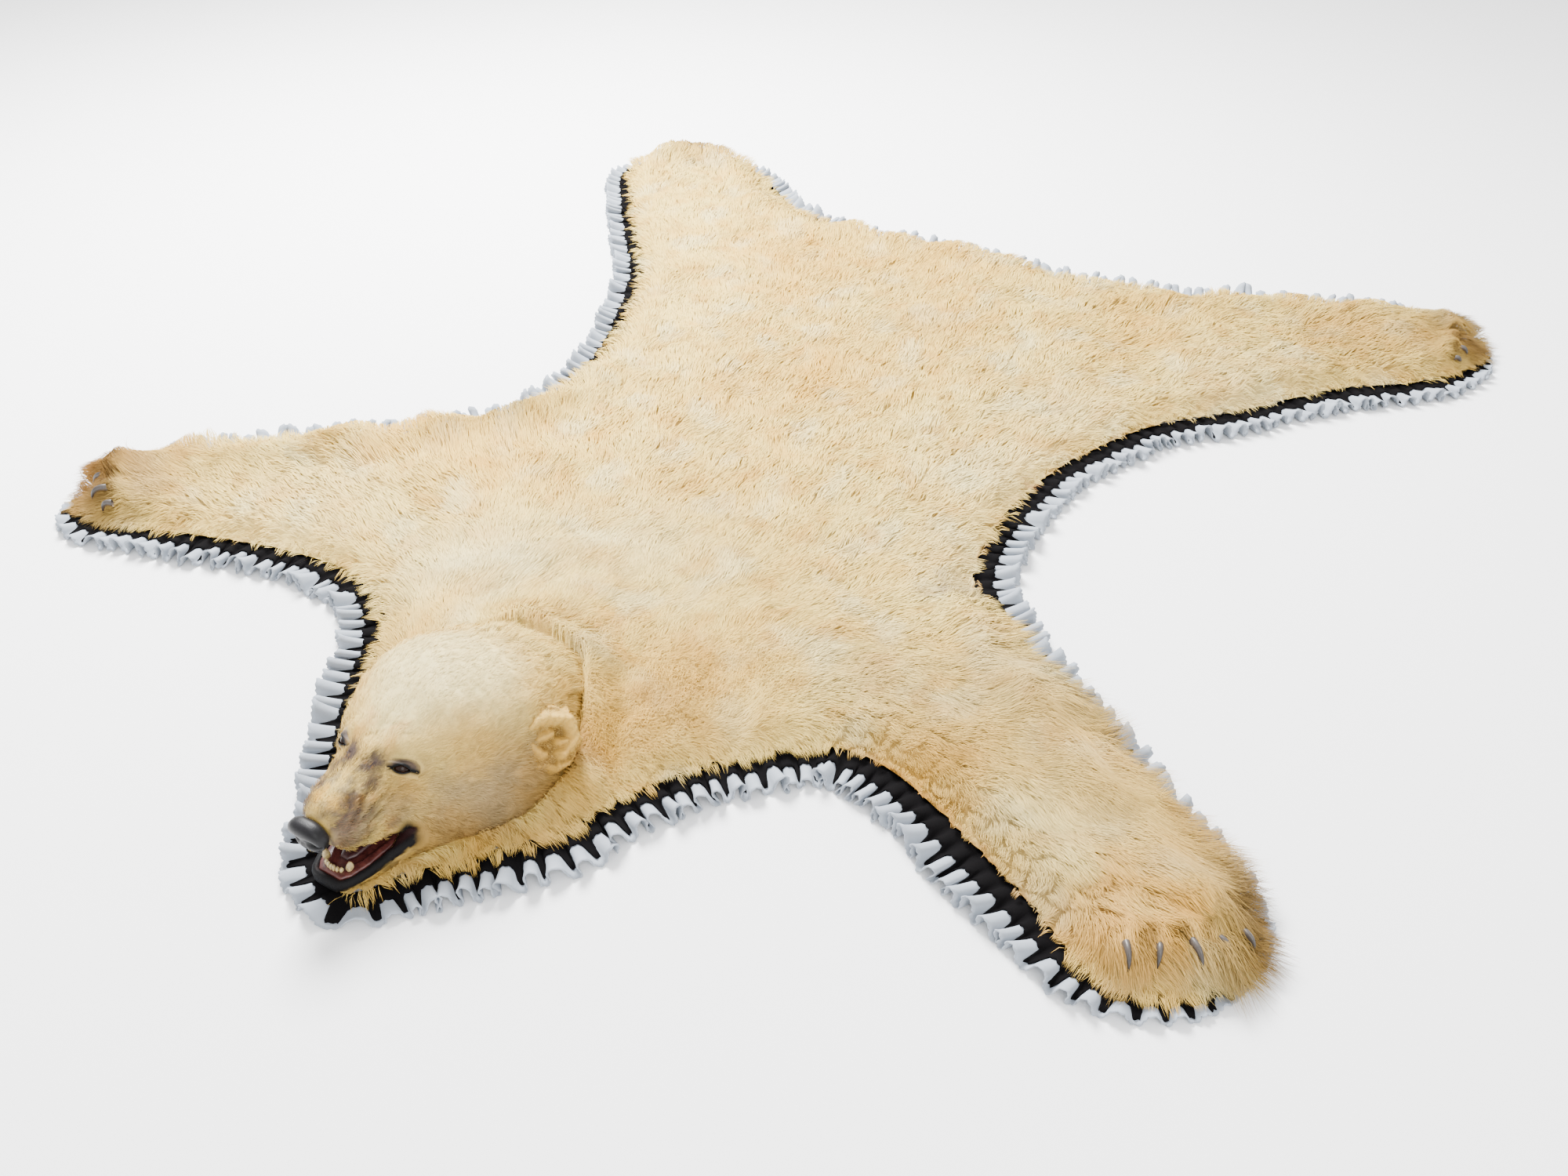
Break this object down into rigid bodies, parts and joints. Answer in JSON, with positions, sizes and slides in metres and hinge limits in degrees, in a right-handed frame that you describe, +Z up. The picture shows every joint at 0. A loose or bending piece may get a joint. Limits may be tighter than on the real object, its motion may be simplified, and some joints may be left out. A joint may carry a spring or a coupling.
{
  "type": "bearskin rug",
  "caption": "White bearskin rug laid flat, with stuffed head, open mouth, clawed paws and a ruffled border of pale and black felt.",
  "frame": {"origin": "middle of the rug's box, on the floor it lies on", "axes": "+Z up; -Y towards the bear's head, +Y towards its tail; +X towards its own left side"},
  "size_m": [2.457, 2.6848, 0.217],
  "materials": {
    "fur": "matte",
    "nose_leather": "satin",
    "eye_glass": "polished",
    "gum": "satin",
    "tongue": "satin",
    "tooth": "satin",
    "claw_horn": "satin",
    "pale_felt": "matte",
    "black_felt": "matte"
  },
  "bodies": {
    "root": {"hide": "fur", "head": "fur", "nose": "nose_leather", "eye_left": "eye_glass", "eye_right": "eye_glass", "mouth_lining": "gum", "tongue": "tongue", "incisor_1": "tooth", "incisor_2": "tooth", "incisor_3": "tooth", "incisor_4": "tooth", "incisor_5": "tooth", "incisor_6": "tooth", "canine_right": "tooth", "canine_left": "tooth", "claw_front_left_1": "claw_horn", "claw_front_left_2": "claw_horn", "claw_front_left_3": "claw_horn", "claw_front_left_4": "claw_horn", "claw_front_left_5": "claw_horn", "claw_front_right_1": "claw_horn", "claw_front_right_2": "claw_horn", "claw_front_right_3": "claw_horn", "claw_front_right_4": "claw_horn", "claw_front_right_5": "claw_horn", "claw_hind_left_1": "claw_horn", "claw_hind_left_2": "claw_horn", "claw_hind_left_3": "claw_horn", "claw_hind_left_4": "claw_horn", "claw_hind_left_5": "claw_horn", "claw_hind_right_1": "claw_horn", "claw_hind_right_2": "claw_horn", "claw_hind_right_3": "claw_horn", "claw_hind_right_4": "claw_horn", "claw_hind_right_5": "claw_horn", "felt_pale_throat_left": "pale_felt", "felt_black_throat_left": "black_felt", "felt_pale_foreleg_left_front": "pale_felt", "felt_black_foreleg_left_front": "black_felt", "felt_pale_foreleg_left_back": "pale_felt", "felt_black_foreleg_left_back": "black_felt", "felt_pale_flank_left": "pale_felt", "felt_black_flank_left": "black_felt", "felt_pale_hind_leg_left": "pale_felt", "felt_black_hind_leg_left": "black_felt", "felt_pale_rump": "pale_felt", "felt_black_rump": "black_felt", "felt_pale_hind_leg_right": "pale_felt", "felt_black_hind_leg_right": "black_felt", "felt_pale_flank_right": "pale_felt", "felt_black_flank_right": "black_felt", "felt_pale_foreleg_right_back": "pale_felt", "felt_black_foreleg_right_back": "black_felt", "felt_pale_foreleg_right_front": "pale_felt", "felt_black_foreleg_right_front": "black_felt", "felt_pale_throat_right": "pale_felt", "felt_black_throat_right": "black_felt"}
  },
  "joints": []
}
